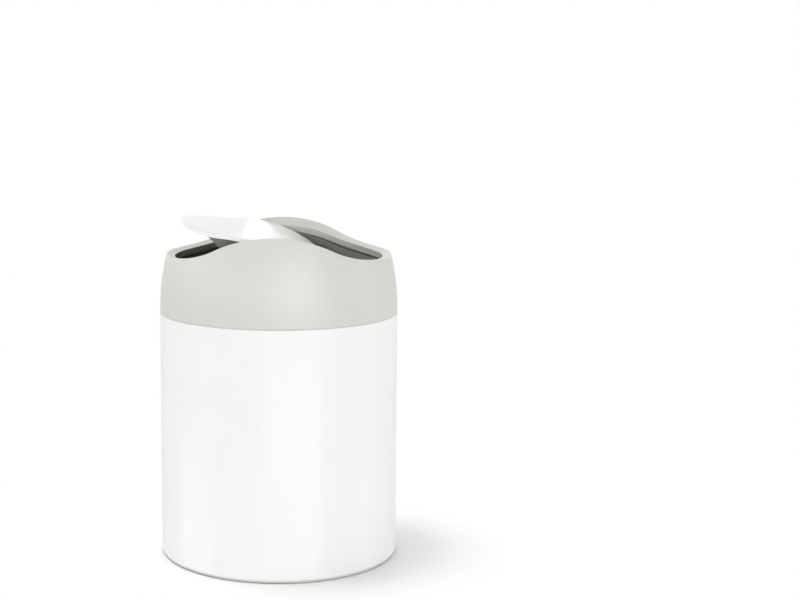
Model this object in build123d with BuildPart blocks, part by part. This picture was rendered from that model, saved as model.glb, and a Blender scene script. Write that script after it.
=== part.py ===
from build123d import *
import math
import os

# Countertop bin with a swing lid, in millimetres. +Z is up and the origin is the centre of the foot.
# The lid's pins lie along Y, so the lid swings left and right, and the collar's rim is one wave along X:
# high over the pins, front and rear, and low at the left and right, where waste goes in.

# ---- can: steel tube, bottom and foot ----
can_radius = 63.0  # outside of the tube
can_wall = 0.8
can_top = 129.3  # cut upper edge of the tube
pad_proud = 0.4  # the pads' height above the ground to the ring
base_edge = 1.2  # visible edge of the base ring under the tube
base_inset = 0.5  # the ring's edge stands back from the tube
base_width = 12.4  # radial width of the base ring's foot
base_upstand = 3.2
base_upstand_wall = 1.9
base_rib_wall = 1.2
base_rib_count = 12
pad_radius = 4.4
pad_depth = 0.7
pad_count = 4
pan_sheet = 0.6
pan_height = 6.0  # underside of the pan's outer floor
pan_crown = 1.2  # the pan's middle is pressed up by this much
pan_border = 16.0  # flat border of the pan, outside its raised middle
pan_bend = 1.6
press_gap = 0.05  # between pieces pressed or seamed into each other

# ---- mouth ring: covers the tube's cut edge and takes the collar's plug ----
ring_flange = 0.5
ring_inset = 0.3
ring_skirt_wall = 1.1
ring_skirt_depth = 11.0

# ---- collar ----
collar_straight = 1.2  # straight above the joint, then one arc inwards
collar_arc_radius = 120.0
collar_wall = 2.2
rim_tail_rise = 30.9  # from the joint up to the rim's low ends
rim_rise = 13.7
rim_crest_radius = 66.0
rim_end_flat = 6.0  # level run of the rim's low ends, from the can's outside
lip_inset = 4.9  # from the collar's outside to the lip's inner wall
lip_height = 3.6
lip_tail_drop = 1.45  # from the rim's low ends down to the lip's inner edge
lip_rise = 10.3
lip_crest_radius = 72.0
rim_edge_round = 0.6
shadow_gap = 1.1  # between the lip and the top of the liner
liner_gap = 0.4
liner_wall = 2.0
plug_depth = 11.6
bead_height = 3.5
bead_width = 1.6
band_depth = 0.6
band_width = 4.0
band_proud = 0.35
band_from_end = 3.0

# ---- lid: a wave of its own, a little flatter than the rim's ----
lid_tail_drop = 3.45  # from the rim's low ends down to the level lid's
lid_rise = 11.1
lid_crest_radius = 78.0
lid_end_flat = 6.0
lid_gap = 1.5  # round the level lid, to the lip's inner wall
lid_sheet = 2.2
lid_edge_round = 0.8

# ---- pivot ----
pivot_depth = 7.35  # from the lid's crest down to the pins' axis
pin_radius = 1.5
pin_clearance = 0.05  # running fit in the bushings
pin_head_radius = 2.8
pin_head = 1.6
pin_groove = 0.35
bushing_wall = 1.0
bushing_flange = 1.0
bushing_flange_radius = 3.4
bushing_length = 9.8
boss_wall = 1.0
pin_end_gap = 0.6
clip_sheet = 0.5
clip_radius = 2.7
clip_slot = 1.3
clip_gap = 0.05
side_play = 0.15
swing_limit = 70.0  # each way from level, set by the stops
stop_angle_gap = 1.5
stop_radius = 8.0
stop_lug_radius = 1.3
stop_lug_overlap = 2.0
fin_wall = 1.5
fin_drop = 10.0
fin_gap = 0.4

# ---- belly under the lid, with the ballast ----
belly_setback = 23.5  # from the can's outside to the belly's ends
belly_corner_gap = 0.8  # from the lid's low outline to the belly's corners
belly_wall = 1.8
web_wall = 2.0
keel_drop = 14.0  # from the pins' axis down to the keel
keel_half_width = 8.0
seat_gap = 0.05
ballast_half_width = 7.3
ballast_end_gap = 4.5
ballast_height = 5.5
ballast_hole_radius = 2.5
ballast_screw_spacing = 40.0
ballast_post_radius = 2.3
post_short = 0.2  # the post ends below the bar's top, so that the screw clamps the bar
ballast_screw_depth = 5.6
screw_radius = 1.2
screw_head_radius = 2.6
screw_head = 1.6
screw_hole_radius = 1.35
screw_recess_radius = 3.0
screw_slot_wall = 0.7
screw_slot_depth = 0.7
lid_screw_x = 18.0
lid_screw_end = 11.5  # from the belly's end to the screws
lid_screw_grip = 6.0
lid_boss_radius = 2.6
belly_boss_radius = 4.0
belly_boss_height = 9.5  # above the keel
belly_boss_web = 2.0

# ---- the lid is stored half pressed: right side down, left side up ----
lid_tilt = 24.2

# ---- sizes that follow from those ----
base_height = pad_proud + base_edge
joint_height = can_top + ring_flange
collar_tangent_height = joint_height + collar_straight
rim_tail_height = joint_height + rim_tail_rise
lid_tail_height = rim_tail_height - lid_tail_drop
pivot_height = lid_tail_height + lid_rise - pivot_depth
keel_height = pivot_height - keel_drop
tube_bore = can_radius - can_wall
plug_inset = collar_wall + liner_gap
liner_inset = plug_inset + liner_wall
plug_radius = can_radius - plug_inset
ring_bore = tube_bore - press_gap - ring_skirt_wall
lid_inset = lip_inset + lid_gap
belly_half_width = can_radius - belly_setback
lid_screw_y = belly_half_width - lid_screw_end
belly_boss_top = keel_height + belly_boss_height
bearing_face = belly_half_width + clip_gap + clip_sheet + side_play
boss_face = bearing_face + bushing_flange
bushing_bore = pin_radius + pin_clearance
bushing_radius = bushing_bore + bushing_wall
boss_radius = bushing_radius + boss_wall
pin_end = boss_face + bushing_length - pin_end_gap
head_face = belly_half_width - web_wall
ballast_half_length = head_face - ballast_end_gap
above_all = rim_tail_height + 2 * rim_rise  # clear of every piece
beyond_all = can_radius + 10.0


class Wave:
    """Outline of two tangent arcs each side of the middle: a round crest, then a hollow to a flat tail."""

    def __init__(self, tail_height, rise, crest_radius, half_length):
        self.tail_height = tail_height
        self.half_length = half_length
        self.crest_radius = crest_radius
        self.crest_height = tail_height + rise
        turn = 2 * math.atan(rise / half_length)
        self.tail_radius = half_length / math.sin(turn) - crest_radius
        self.join = crest_radius * math.sin(turn)

    def height(self, x):
        """Height at the distance x from the middle."""
        x = min(abs(x), self.half_length)
        if x < self.join:
            return self.crest_height - self.crest_radius + math.sqrt(self.crest_radius**2 - x**2)
        run = self.half_length - x
        return self.tail_height + self.tail_radius - math.sqrt(self.tail_radius**2 - run**2)

    def point(self, x, drop=0.0):
        """Point of the outline, lowered by drop, on a plane of X and Z."""
        return (x, self.height(x) - drop)

    def draw(self, drop, reach, edge):
        """Closed outline in the open BuildLine, between the lowered wave and a level line at edge."""
        middle = (self.join + self.half_length) / 2
        for side in (-1, 1):
            Line(self.point(side * reach, drop), self.point(side * self.half_length, drop))
            ThreePointArc(
                self.point(side * self.half_length, drop),
                self.point(side * middle, drop),
                self.point(side * self.join, drop),
            )
            Line(self.point(side * reach, drop), (side * reach, edge))
        ThreePointArc(self.point(-self.join, drop), self.point(0, drop), self.point(self.join, drop))
        Line((-reach, edge), (reach, edge))


rim_wave = Wave(rim_tail_height, rim_rise, rim_crest_radius, can_radius - rim_end_flat)
lip_wave = Wave(rim_tail_height - lip_tail_drop, lip_rise, lip_crest_radius, can_radius - rim_end_flat)
lid_wave = Wave(lid_tail_height, lid_rise, lid_crest_radius, can_radius - lid_end_flat)


def collar_radius(height):
    """Radius of the collar's outside at a height."""
    climb = max(height - collar_tangent_height, 0.0)
    return can_radius - collar_arc_radius + math.sqrt(collar_arc_radius**2 - climb**2)


def draw_collar_line(inset, bottom, top):
    """The collar's outside line in the open BuildLine, moved inwards by inset, from bottom to top."""
    foot = max(bottom, collar_tangent_height)
    middle = (foot + top) / 2
    if bottom < foot:
        Line((can_radius - inset, bottom), (can_radius - inset, foot))
    ThreePointArc(*((collar_radius(height) - inset, height) for height in (foot, middle, top)))


def draw_collar_ring(outer_inset, inner_inset, bottom, top):
    """Half section of a ring that follows the collar, in the open BuildLine."""
    draw_collar_line(outer_inset, bottom, top)
    draw_collar_line(inner_inset, bottom, top)
    for height in (bottom, top):
        radius = collar_radius(height)
        Line((radius - outer_inset, height), (radius - inner_inset, height))


def draw_collar_core(inset, bottom, top):
    """Half section of all inside the collar line moved inwards by inset, in the open BuildLine."""
    draw_collar_line(inset, bottom, top)
    Line((0, bottom), (0, top))
    for height in (bottom, top):
        Line((0, height), (collar_radius(height) - inset, height))


def rim_point(wave, inset, angle):
    """Radius and height where a wave meets the collar line, moved inwards by inset, at an angle from +X."""
    radius = can_radius - inset
    for _ in range(8):
        height = wave.height(radius * math.cos(math.radians(angle)))
        radius = collar_radius(height) - inset
    return radius, height


def extended(near, far, length):
    """The point a length beyond far, on the line from near."""
    reach = length / math.dist(near, far)
    return tuple(f + (f - n) * reach for n, f in zip(near, far))


# ---- can ----
with BuildPart() as can_tube:
    with BuildSketch(Plane.XY.offset(base_height)):
        Circle(can_radius)
        Circle(tube_bore, mode=Mode.SUBTRACT)
    extrude(amount=can_top - base_height)

with BuildPart() as bottom_pan:
    pan_radius = tube_bore - press_gap
    pan_crown_radius = pan_radius - pan_border
    floor = pan_height + pan_sheet
    with BuildSketch(Plane.XZ):
        with BuildLine():
            Polyline(
                (0, pan_height + pan_crown),
                (pan_crown_radius, pan_height + pan_crown),
                (pan_crown_radius + 2 * pan_crown, pan_height),
                (pan_radius - pan_sheet, pan_height),
                (pan_radius - pan_sheet, base_height + press_gap),
                (pan_radius, base_height + press_gap),
                (pan_radius, floor),
                (pan_crown_radius + 2 * pan_crown, floor),
                (pan_crown_radius, floor + pan_crown),
                (0, floor + pan_crown),
                close=True,
            )
        make_face()
        fillet(vertices().sort_by_distance((pan_radius, floor))[0], radius=pan_bend)
        fillet(
            vertices().sort_by_distance((pan_radius - pan_sheet, pan_height))[0],
            radius=pan_bend - pan_sheet,
        )
    revolve(axis=Axis.Z)

with BuildPart() as base_ring:
    foot_radius = can_radius - base_inset
    foot_bore = foot_radius - base_width
    upstand_radius = pan_radius - pan_sheet - press_gap
    upstand_bore = upstand_radius - base_upstand_wall
    with BuildSketch(Plane.XY.offset(pad_proud)):
        Circle(foot_radius)
        Circle(foot_bore, mode=Mode.SUBTRACT)
    extrude(amount=base_edge)
    with BuildSketch(Plane.XY.offset(base_height)):
        Circle(upstand_radius)
        Circle(upstand_bore, mode=Mode.SUBTRACT)
        Circle(foot_bore + base_rib_wall)
        Circle(foot_bore, mode=Mode.SUBTRACT)
        with PolarLocations((foot_bore + upstand_bore) / 2, base_rib_count):
            Rectangle(upstand_bore - foot_bore, base_rib_wall)
    extrude(amount=base_upstand)
    chamfer(edges().group_by(Axis.Z)[0].sort_by(SortBy.LENGTH)[-1], length=pad_proud)
    pad_ring = (foot_radius + foot_bore) / 2
    with BuildSketch(Plane.XY.offset(pad_proud)):
        with PolarLocations(pad_ring, pad_count, start_angle=45):
            Circle(pad_radius + press_gap)
    extrude(amount=pad_depth, mode=Mode.SUBTRACT)

with BuildPart() as foot_pads:
    with BuildSketch(Plane.XY):
        with PolarLocations(pad_ring, pad_count, start_angle=45):
            Circle(pad_radius)
    extrude(amount=pad_proud + pad_depth)
    chamfer(edges().group_by(Axis.Z)[0], length=pad_proud / 2)

with BuildPart() as mouth_ring:
    with BuildSketch(Plane.XY.offset(can_top)):
        Circle(can_radius - ring_inset)
        Circle(ring_bore, mode=Mode.SUBTRACT)
    extrude(amount=ring_flange)
    with BuildSketch(Plane.XY.offset(can_top)):
        Circle(tube_bore - press_gap)
        Circle(ring_bore, mode=Mode.SUBTRACT)
    extrude(amount=-ring_skirt_depth)
    chamfer(edges().group_by(Axis.Z)[0], length=ring_skirt_wall / 3)

# ---- collar ----
# The lip slopes inwards from the rim's wave, on the collar's outside, to the lip's own wave, on its inner
# wall, a little above the level lid. This cutter takes away all that is above that slope.
slope_step = 15
slope_steps = 7
slope_overrun = 3.0
cutter_bore = can_radius / 10
with BuildPart() as mouth_cutter:
    for step in range(-slope_steps, slope_steps + 1):
        angle = step * slope_step
        outer_edge = rim_point(rim_wave, 0, angle)
        inner_edge = rim_point(lip_wave, lip_inset, angle)
        outside = extended(inner_edge, outer_edge, slope_overrun)
        inside = extended(outer_edge, inner_edge, slope_overrun)
        across = Vector(1, 0, 0).rotate(Axis.Z, angle)
        with BuildSketch(Plane(origin=(0, 0, 0), x_dir=across, z_dir=across.cross(Vector(0, 0, 1)))):
            with BuildLine():
                Polyline(
                    (cutter_bore, inside[1]),
                    inside,
                    outside,
                    (outside[0], above_all),
                    (cutter_bore, above_all),
                    close=True,
                )
            make_face()
    loft()
    split(bisect_by=Plane.YZ, keep=Keep.TOP)
    mirror(about=Plane.YZ)

with BuildPart() as collar_shell:
    with BuildSketch(Plane.XZ):
        with BuildLine():
            draw_collar_ring(collar_wall / 2, lip_inset, joint_height, above_all)
        make_face()
    revolve(axis=Axis.Z)
    with BuildSketch(Plane.XZ):
        with BuildLine():
            lip_wave.draw(lip_height, beyond_all, 0)
        make_face()
    extrude(amount=beyond_all, both=True, mode=Mode.SUBTRACT)
    with BuildSketch(Plane.XZ):
        with BuildLine():
            draw_collar_ring(0, collar_wall, joint_height, above_all)
        make_face()
    revolve(axis=Axis.Z)
    add(mouth_cutter.part, mode=Mode.SUBTRACT)
    rim_edges = edges().filter_by(lambda edge: (edge @ 0.5).Z > rim_tail_height - lip_height)
    fillet(
        rim_edges.filter_by(
            lambda edge: abs(math.hypot((edge @ 0.5).X, (edge @ 0.5).Y) - collar_radius((edge @ 0.5).Z))
            < seat_gap
        ),
        radius=rim_edge_round,
    )

with BuildPart() as bearing_bosses:
    fin_face = boss_face + fin_gap
    for side in (-1, 1):
        with BuildSketch(Plane.XZ.offset(side * boss_face)):
            with Locations((0, pivot_height)):
                Circle(boss_radius)
        extrude(amount=side * (can_radius - boss_face))
        with BuildSketch(Plane.XZ.offset(side * fin_face)):
            with Locations((0, pivot_height - fin_drop / 2)):
                Rectangle(fin_wall, fin_drop)
        extrude(amount=side * (can_radius - fin_face))
    with BuildSketch(Plane.XZ):
        with BuildLine():
            draw_collar_core(plug_inset + liner_wall / 2, joint_height, above_all)
        make_face()
    revolve(axis=Axis.Z, mode=Mode.INTERSECT)

with BuildPart() as collar_liner:
    with BuildSketch(Plane.XZ):
        with BuildLine():
            draw_collar_ring(plug_inset, liner_inset, joint_height - plug_depth, above_all)
        make_face()
    revolve(axis=Axis.Z)
    with BuildSketch(Plane.XZ):
        with BuildLine():
            lip_wave.draw(lip_height + shadow_gap, beyond_all, above_all)
        make_face()
    extrude(amount=beyond_all, both=True, mode=Mode.SUBTRACT)
    chamfer(edges().group_by(Axis.Z)[0].sort_by(SortBy.LENGTH)[-1], length=liner_wall / 3)
    bead_foot = joint_height + bead_height
    with BuildSketch(Plane.XZ):
        with BuildLine():
            draw_collar_ring(
                collar_wall, plug_inset + liner_wall / 2, bead_foot, bead_foot + bead_width
            )
        make_face()
    revolve(axis=Axis.Z)
    band_foot = joint_height - plug_depth + band_from_end
    with BuildSketch(Plane.XY.offset(band_foot)):
        Circle(beyond_all)
        Circle(plug_radius - band_depth, mode=Mode.SUBTRACT)
    extrude(amount=band_width, mode=Mode.SUBTRACT)
    add(bearing_bosses.part)
    for side in (-1, 1):
        with BuildSketch(Plane.XZ.offset(side * boss_face)):
            with Locations((0, pivot_height)):
                Circle(bushing_radius)
        extrude(amount=side * bushing_length, mode=Mode.SUBTRACT)

with BuildPart() as grip_band:
    with BuildSketch(Plane.XY.offset(band_foot)):
        Circle(plug_radius + band_proud)
        Circle(plug_radius - band_depth, mode=Mode.SUBTRACT)
    extrude(amount=band_width)
    fillet(edges().filter_by(GeomType.CIRCLE).group_by(SortBy.RADIUS)[-1], radius=band_proud)

with BuildPart() as front_bushing:
    with BuildSketch(Plane.XZ.offset(bearing_face)):
        with Locations((0, pivot_height)):
            Circle(bushing_flange_radius)
    extrude(amount=bushing_flange)
    with BuildSketch(Plane.XZ.offset(boss_face)):
        with Locations((0, pivot_height)):
            Circle(bushing_radius)
    extrude(amount=bushing_length - press_gap)
    with BuildSketch(Plane.XZ.offset(bearing_face)):
        with Locations((0, pivot_height)):
            Circle(bushing_bore)
    extrude(amount=bushing_flange + bushing_length, mode=Mode.SUBTRACT)

with BuildPart() as rear_bushing:
    mirror(front_bushing.part, about=Plane.XZ)

# ---- lid, drawn level ----
with BuildPart() as lid_top:
    with BuildSketch(Plane.XZ):
        with BuildLine():
            lid_wave.draw(0, beyond_all, 0)
        make_face()
        with BuildLine():
            lid_wave.draw(lid_sheet, beyond_all, 0)
        make_face(mode=Mode.SUBTRACT)
    extrude(amount=beyond_all, both=True)
    with BuildSketch(Plane.XZ):
        with BuildLine():
            draw_collar_core(lid_inset, joint_height, above_all)
        make_face()
    revolve(axis=Axis.Z, mode=Mode.INTERSECT)
    outline = edges().filter_by(
        lambda edge: math.hypot((edge @ 0.5).X, (edge @ 0.5).Y) > belly_half_width
    )
    fillet(
        outline.filter_by(lambda edge: abs((edge @ 0.5).Z - lid_wave.height((edge @ 0.5).X)) < seat_gap),
        radius=lid_edge_round,
    )
    lid_bosses = [(x, y) for x in (-lid_screw_x, lid_screw_x) for y in (-lid_screw_y, lid_screw_y)]
    boss_root = lid_wave.height(lid_screw_x) - lid_sheet / 2
    with BuildSketch(Plane.XY.offset(belly_boss_top)):
        with Locations(*lid_bosses):
            Circle(lid_boss_radius)
    extrude(amount=boss_root - belly_boss_top)
    with BuildSketch(Plane.XY.offset(belly_boss_top)):
        with Locations(*lid_bosses):
            Circle(screw_radius)
    extrude(amount=lid_screw_grip, mode=Mode.SUBTRACT)

lid_low_radius = collar_radius(lid_tail_height) - lid_inset
belly_half_length = math.sqrt(lid_low_radius**2 - belly_half_width**2) - belly_corner_gap
belly_end = lid_wave.height(belly_half_length) - lid_sheet - seat_gap
belly_slope = math.atan2(belly_end - keel_height, belly_half_length - keel_half_width)
keel_floor = keel_height + belly_wall
with BuildSketch(Plane.XZ) as belly_outline:
    with BuildLine():
        Polyline(
            (-belly_half_length, above_all),
            (-belly_half_length, belly_end),
            (-keel_half_width, keel_height),
            (keel_half_width, keel_height),
            (belly_half_length, belly_end),
            (belly_half_length, above_all),
            close=True,
        )
    make_face()
    with BuildLine():
        lid_wave.draw(lid_sheet + seat_gap, beyond_all, above_all)
    make_face(mode=Mode.SUBTRACT)

with BuildPart() as belly_bosses:
    with BuildSketch(Plane.XY.offset(keel_height)):
        with Locations(*lid_bosses):
            Circle(belly_boss_radius)
    extrude(amount=belly_boss_top - keel_height)
    extrude(belly_outline.sketch, amount=belly_half_width, both=True, mode=Mode.INTERSECT)

with BuildPart() as lid_under:
    extrude(belly_outline.sketch, amount=belly_half_width, both=True)
    with BuildSketch(Plane.XZ):
        with BuildLine():
            inner_keel = keel_half_width - belly_wall * math.tan(belly_slope / 2)
            inner_end = belly_end + belly_wall / math.cos(belly_slope)
            Polyline(
                (-belly_half_length, above_all),
                (-belly_half_length, inner_end),
                (-inner_keel, keel_floor),
                (inner_keel, keel_floor),
                (belly_half_length, inner_end),
                (belly_half_length, above_all),
                close=True,
            )
        make_face()
    extrude(amount=head_face, both=True, mode=Mode.SUBTRACT)
    add(belly_bosses.part)
    recess_top = belly_boss_top - belly_boss_web
    with BuildSketch(Plane.XY.offset(keel_height)):
        with Locations(*lid_bosses):
            Circle(screw_recess_radius)
    extrude(amount=recess_top - keel_height, mode=Mode.SUBTRACT)
    with BuildSketch(Plane.XY.offset(recess_top)):
        with Locations(*lid_bosses):
            Circle(screw_hole_radius)
    extrude(amount=belly_boss_web, mode=Mode.SUBTRACT)
    ballast_screws_y = [(0, -ballast_screw_spacing / 2), (0, ballast_screw_spacing / 2)]
    ballast_top = keel_floor + ballast_height
    with BuildSketch(Plane.XY.offset(keel_floor)):
        with Locations(*ballast_screws_y):
            Circle(ballast_post_radius)
    extrude(amount=ballast_height - post_short)
    with BuildSketch(Plane.XY.offset(ballast_top)):
        with Locations(*ballast_screws_y):
            Circle(screw_radius)
    extrude(amount=-ballast_screw_depth, mode=Mode.SUBTRACT)
    lug_angle = math.radians(swing_limit + stop_angle_gap)
    lug_angle += math.asin((stop_lug_radius + fin_wall / 2) / stop_radius)
    lug_x = stop_radius * math.sin(lug_angle)
    lug_z = pivot_height - stop_radius * math.cos(lug_angle)
    for side in (-1, 1):
        with BuildSketch(Plane.XZ.offset(side * belly_half_width)):
            with Locations((-lug_x, lug_z), (lug_x, lug_z)):
                Circle(stop_lug_radius)
        extrude(amount=side * (fin_face + stop_lug_overlap - belly_half_width))
    with BuildSketch(Plane.XZ):
        with Locations((0, pivot_height)):
            Circle(pin_radius)
    extrude(amount=belly_half_width, both=True, mode=Mode.SUBTRACT)

with BuildPart() as front_pivot_pin:
    with BuildSketch(Plane.XZ.offset(head_face - pin_head)):
        with Locations((0, pivot_height)):
            Circle(pin_head_radius)
    extrude(amount=pin_head)
    with BuildSketch(Plane.XZ.offset(head_face)):
        with Locations((0, pivot_height)):
            Circle(pin_radius)
    extrude(amount=pin_end - head_face)
    chamfer(edges().group_by(Axis.Y)[0], length=pin_radius / 4)
    chamfer(edges().group_by(Axis.Y)[-1], length=pin_head / 4)
    with BuildSketch(Plane.XZ.offset(belly_half_width + clip_gap)):
        with Locations((0, pivot_height)):
            Circle(pin_radius)
            Circle(pin_radius - pin_groove, mode=Mode.SUBTRACT)
    extrude(amount=clip_sheet, mode=Mode.SUBTRACT)

with BuildPart() as rear_pivot_pin:
    mirror(front_pivot_pin.part, about=Plane.XZ)

with BuildPart() as pin_clips:
    with BuildSketch(Plane.XZ.offset(belly_half_width + clip_gap)):
        with Locations((0, pivot_height)):
            Circle(clip_radius)
            Circle(pin_radius - pin_groove, mode=Mode.SUBTRACT)
        with Locations((0, pivot_height - clip_radius)):
            Rectangle(clip_slot, 2 * clip_radius, mode=Mode.SUBTRACT)
    extrude(amount=clip_sheet)
    mirror(about=Plane.XZ)

with BuildPart() as ballast_weight:
    with BuildSketch(Plane.XY.offset(keel_floor)):
        Rectangle(2 * ballast_half_width, 2 * ballast_half_length)
        with Locations(*ballast_screws_y):
            Circle(ballast_hole_radius, mode=Mode.SUBTRACT)
    extrude(amount=ballast_height)
    chamfer(edges().group_by(Axis.Z)[-1].filter_by(GeomType.LINE), length=ballast_height / 8)

with BuildPart() as ballast_screws:
    with BuildSketch(Plane.XY.offset(ballast_top)):
        with Locations(*ballast_screws_y):
            Circle(screw_head_radius)
    extrude(amount=screw_head)
    fillet(edges().group_by(Axis.Z)[-1], radius=screw_head / 3)
    with BuildSketch(Plane.XY.offset(ballast_top)):
        with Locations(*ballast_screws_y):
            Circle(screw_radius)
    extrude(amount=-(ballast_screw_depth - post_short))
    with BuildSketch(Plane.XY.offset(ballast_top + screw_head)):
        with Locations(*ballast_screws_y):
            Rectangle(screw_slot_wall, screw_head_radius)
            Rectangle(screw_head_radius, screw_slot_wall)
    extrude(amount=-screw_slot_depth, mode=Mode.SUBTRACT)

with BuildPart() as lid_screws:
    with BuildSketch(Plane.XY.offset(recess_top)):
        with Locations(*lid_bosses):
            Circle(screw_head_radius)
    extrude(amount=-screw_head)
    fillet(edges().group_by(Axis.Z)[0], radius=screw_head / 3)
    with BuildSketch(Plane.XY.offset(recess_top)):
        with Locations(*lid_bosses):
            Circle(screw_radius)
    extrude(amount=belly_boss_web + lid_screw_grip - post_short)
    with BuildSketch(Plane.XY.offset(recess_top - screw_head)):
        with Locations(*lid_bosses):
            Rectangle(screw_slot_wall, screw_head_radius)
            Rectangle(screw_head_radius, screw_slot_wall)
    extrude(amount=screw_slot_depth, mode=Mode.SUBTRACT)

# ---- the whole lid turns about its pins to the pose that it is stored in ----
pivot_axis = Axis((0, 0, pivot_height), (0, 1, 0))
for piece in (
    lid_top,
    lid_under,
    front_pivot_pin,
    rear_pivot_pin,
    pin_clips,
    ballast_weight,
    ballast_screws,
    lid_screws,
):
    piece.part = piece.part.rotate(pivot_axis, lid_tilt)

os.makedirs("parts", exist_ok=True)
can_tube.part.label = "can_tube"
export_step(can_tube.part, "parts/can_tube.step")
bottom_pan.part.label = "bottom_pan"
export_step(bottom_pan.part, "parts/bottom_pan.step")
base_ring.part.label = "base_ring"
export_step(base_ring.part, "parts/base_ring.step")
foot_pads.part.label = "foot_pads"
export_step(foot_pads.part, "parts/foot_pads.step")
mouth_ring.part.label = "mouth_ring"
export_step(mouth_ring.part, "parts/mouth_ring.step")
collar_shell.part.label = "collar_shell"
export_step(collar_shell.part, "parts/collar_shell.step")
collar_liner.part.label = "collar_liner"
export_step(collar_liner.part, "parts/collar_liner.step")
grip_band.part.label = "grip_band"
export_step(grip_band.part, "parts/grip_band.step")
front_bushing.part.label = "front_bushing"
export_step(front_bushing.part, "parts/front_bushing.step")
rear_bushing.part.label = "rear_bushing"
export_step(rear_bushing.part, "parts/rear_bushing.step")
lid_top.part.label = "lid_top"
export_step(lid_top.part, "parts/lid_top.step")
lid_under.part.label = "lid_under"
export_step(lid_under.part, "parts/lid_under.step")
front_pivot_pin.part.label = "front_pivot_pin"
export_step(front_pivot_pin.part, "parts/front_pivot_pin.step")
rear_pivot_pin.part.label = "rear_pivot_pin"
export_step(rear_pivot_pin.part, "parts/rear_pivot_pin.step")
pin_clips.part.label = "pin_clips"
export_step(pin_clips.part, "parts/pin_clips.step")
ballast_weight.part.label = "ballast_weight"
export_step(ballast_weight.part, "parts/ballast_weight.step")
ballast_screws.part.label = "ballast_screws"
export_step(ballast_screws.part, "parts/ballast_screws.step")
lid_screws.part.label = "lid_screws"
export_step(lid_screws.part, "parts/lid_screws.step")
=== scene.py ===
"""Countertop bin with a swing lid: its finished pieces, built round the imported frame.

Sizes are in millimetres, and each finished mesh is scaled to metres. +Z is up, the origin is the
centre of the foot, and the lid's pins lie along Y. The collar's rim and the lid are waves along X.
"""

import logging
import math
from collections.abc import Callable, Iterable, Mapping, Sequence
from dataclasses import dataclass
from enum import Enum

import bmesh
import bpy
from bmesh.types import BMEdge, BMesh, BMVert
from mathutils import Matrix, Vector


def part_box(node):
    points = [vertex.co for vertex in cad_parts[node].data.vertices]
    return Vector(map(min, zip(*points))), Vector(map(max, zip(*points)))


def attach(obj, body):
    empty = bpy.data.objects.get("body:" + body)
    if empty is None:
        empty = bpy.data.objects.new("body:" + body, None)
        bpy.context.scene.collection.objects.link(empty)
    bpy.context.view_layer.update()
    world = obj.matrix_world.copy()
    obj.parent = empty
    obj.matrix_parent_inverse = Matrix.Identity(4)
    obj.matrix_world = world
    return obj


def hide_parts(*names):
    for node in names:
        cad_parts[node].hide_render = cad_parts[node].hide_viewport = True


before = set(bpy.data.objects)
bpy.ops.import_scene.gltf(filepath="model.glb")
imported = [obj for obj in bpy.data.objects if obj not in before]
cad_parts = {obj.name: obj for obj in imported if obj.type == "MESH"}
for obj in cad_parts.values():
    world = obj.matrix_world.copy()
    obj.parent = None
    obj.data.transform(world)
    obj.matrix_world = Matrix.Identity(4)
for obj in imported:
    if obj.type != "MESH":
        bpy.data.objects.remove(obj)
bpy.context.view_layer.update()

log = logging.getLogger("countertop_bin")

MM = 0.001  # metres in a millimetre
RING_STEPS = 288  # faces round the can
TURNED_STEPS = 48  # faces round a pin or a screw
ROUND_SEGMENTS = 4  # faces across a rounded edge
SEARCH_ROUNDS = 6  # enough for the search of a meeting point to settle
MERGE_DISTANCE = 0.0002  # points closer than this are one
SPARE = 1.0  # how far a cutting body runs past what it cuts
WALL_ROUND = 1 / 3  # rounding at the end of a moulded wall, as a share of its thickness
TURNED_ROUND = 1 / 4  # rounding of a turned edge, as a share of the pin's or the head's size
SHARP_ANGLE = math.radians(30)  # an edge that turns by more isn't shaded smooth
FULL_TURN = 2 * math.pi
MIX_A, MIX_B, MIX_RESULT = 6, 7, 2  # a Mix node's colour sockets, whose names repeat


class Body(Enum):
    """The bodies that move by themselves."""

    CAN = "can"
    COLLAR = "collar"
    LID = "lid"


class Side(Enum):
    """The two ends of the pivot, by the direction of Y."""

    FRONT = -1
    REAR = 1


class Rays(Enum):
    """What a lamp adds to: the light on a surface, or its highlights."""

    LIGHT = "light"
    HIGHLIGHT = "highlight"


class Operation(Enum):
    """How one closed mesh is combined with another."""

    UNION = "UNION"
    DIFFERENCE = "DIFFERENCE"


# ---------------------------------------------------------------- shared outlines


@dataclass(frozen=True)
class Wave:
    """Outline along X: a round crest in the middle, and a hollow at each side to a level tail."""

    tail_height: float
    rise: float
    crest_radius: float
    half_length: float

    def height(self, x: float) -> float:
        """Height of the outline at the distance x from the middle.

        Args:
            x: distance from the middle.

        Returns:
            The outline's height there.
        """
        turn = 2 * math.atan(self.rise / self.half_length)
        reach = min(abs(x), self.half_length)
        if reach < self.crest_radius * math.sin(turn):
            drop = self.crest_radius - math.sqrt(self.crest_radius**2 - reach**2)
            return self.tail_height + self.rise - drop
        tail_radius = self.half_length / math.sin(turn) - self.crest_radius
        run = self.half_length - reach
        return self.tail_height + tail_radius - math.sqrt(tail_radius**2 - run**2)


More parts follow.
